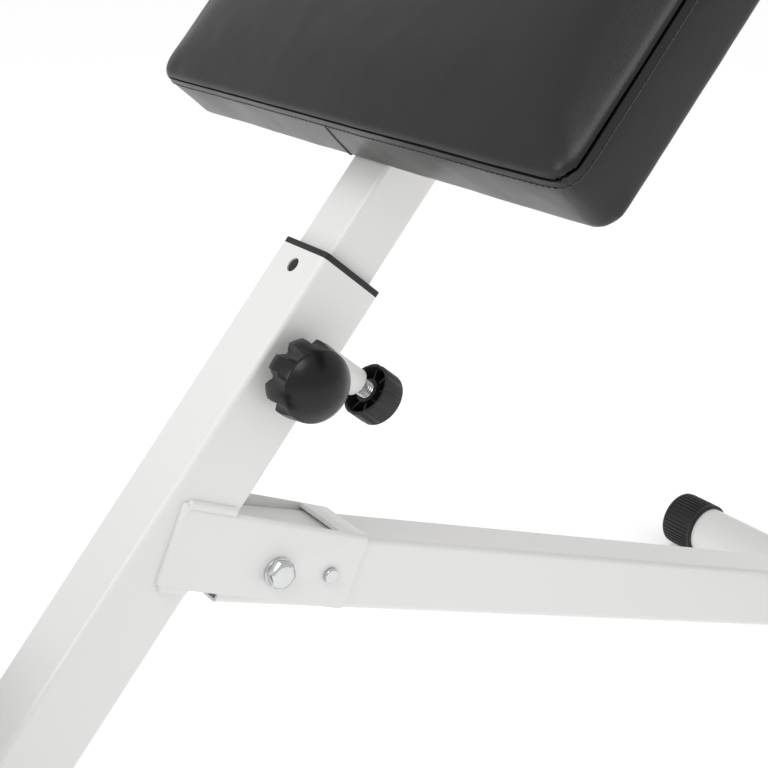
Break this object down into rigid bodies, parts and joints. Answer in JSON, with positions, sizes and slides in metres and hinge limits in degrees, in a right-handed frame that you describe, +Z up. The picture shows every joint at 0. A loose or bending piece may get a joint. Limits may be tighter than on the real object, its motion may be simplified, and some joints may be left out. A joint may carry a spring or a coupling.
{
  "type": "sit-up bench",
  "caption": "Folding sit-up and back-extension bench: leaning square post, sliding padded hip rest, hinged front leg, ankle rollers and round cross feet.",
  "frame": {"origin": "on the floor, in the middle of the bench's length and width", "axes": "+X along the bench from the rear foot to the front foot, +Y across it, +Z up"},
  "size_m": [1.016, 0.45, 0.768],
  "materials": {
    "white_steel": "gloss white powder coat",
    "black_plastic": "moulded, fine grain",
    "gloss_plastic": "moulded, polished dome",
    "zinc_steel": "bright zinc plate",
    "black_vinyl": "glossy grained vinyl over foam",
    "foam": "closed-cell foam skin",
    "mat_rubber": "ribbed rubber",
    "board_wood": "raw plywood"
  },
  "bodies": {
    "frame": {"post_tube": "white_steel", "post_collar": "black_plastic", "rear_foot_tube": "white_steel", "rear_foot_cap_near": "black_plastic", "rear_foot_cap_far": "black_plastic", "foot_plate": "white_steel", "foot_plate_rib_near": "white_steel", "foot_plate_rib_far": "white_steel", "foot_mat_near": "mat_rubber", "foot_mat_far": "mat_rubber", "roller_upright": "white_steel", "roller_upright_cap": "black_plastic", "roller_bar": "white_steel", "roller_bar_cap_near": "black_plastic", "roller_bar_cap_far": "black_plastic", "pivot_bracket": "white_steel", "bracket_welds": "white_steel", "pivot_bolt": "zinc_steel", "pivot_nut": "zinc_steel", "pivot_washers": "zinc_steel", "clamp_nut": "white_steel", "lock_sleeve": "white_steel"},
    "leg": {"leg_tube": "white_steel", "leg_end_plate": "white_steel", "pivot_bush": "zinc_steel", "front_foot_tube": "white_steel", "front_foot_cap_near": "black_plastic", "front_foot_cap_far": "black_plastic"},
    "pad_slider": {"inner_tube": "white_steel", "inner_tube_guide": "black_plastic", "inner_tube_plug": "black_plastic", "pad_mount_lower": "white_steel", "pad_mount_upper": "white_steel", "pad_board": "board_wood", "pad_tee_nuts": "zinc_steel", "pad_screws": "zinc_steel", "pad_cushion": "black_vinyl"},
    "clamp_screw": {"clamp_stud": "zinc_steel"},
    "clamp_grip": {"clamp_knob": "gloss_plastic"},
    "lock_screw": {"lock_stud": "zinc_steel"},
    "lock_grip": {"lock_knob": "black_plastic"},
    "lock_pin_near": {"leg_lock_pin_near": "zinc_steel"},
    "lock_pin_far": {"leg_lock_pin_far": "zinc_steel"},
    "roller_near": {"roller_core_near": "black_plastic", "roller_foam_near": "foam"},
    "roller_far": {"roller_core_far": "black_plastic", "roller_foam_far": "foam"}
  },
  "joints": [
    {"name": "pad_height", "type": "slide", "parent": "frame", "child": "pad_slider", "axis": [0.6481, 0, 0.7615], "range_m": [-0.05, 0.075]},
    {"name": "leg_fold", "type": "hinge", "parent": "frame", "child": "leg", "pos_m": [-0.16218, 0, 0.27366], "axis": [0, 1, 0], "range_deg": [0, 110]},
    {"name": "clamp_travel", "type": "slide", "parent": "frame", "child": "clamp_screw", "axis": [0, -1, 0], "range_m": [0, 0.0035]},
    {"name": "clamp_turn", "type": "hinge", "parent": "clamp_screw", "child": "clamp_grip", "pos_m": [-0.14633, 0, 0.40291], "axis": [0, -1, 0], "range_deg": [0, 720]},
    {"name": "lock_travel", "type": "slide", "parent": "frame", "child": "lock_screw", "axis": [-0.7615, 0, 0.6481], "range_m": [0, 0.007]},
    {"name": "lock_turn", "type": "hinge", "parent": "lock_screw", "child": "lock_grip", "pos_m": [-0.13382, 0, 0.41761], "axis": [-0.7615, 0, 0.6481], "range_deg": [0, 1440]},
    {"name": "lock_pin_near_press", "type": "slide", "parent": "frame", "child": "lock_pin_near", "axis": [0, 1, 0], "range_m": [0, 0.003]},
    {"name": "lock_pin_far_press", "type": "slide", "parent": "frame", "child": "lock_pin_far", "axis": [0, -1, 0], "range_m": [0, 0.003]},
    {"name": "roller_near_spin", "type": "hinge", "parent": "frame", "child": "roller_near", "pos_m": [-0.45998, 0, 0.2658], "axis": [0, 1, 0], "continuous": true},
    {"name": "roller_far_spin", "type": "hinge", "parent": "frame", "child": "roller_far", "pos_m": [-0.45998, 0, 0.2658], "axis": [0, 1, 0], "continuous": true}
  ],
  "couplings": [
    {"joint": "clamp_turn", "follows": "clamp_travel", "rad_per_m": 3590.4},
    {"joint": "lock_turn", "follows": "lock_travel", "rad_per_m": 3590.4}
  ]
}
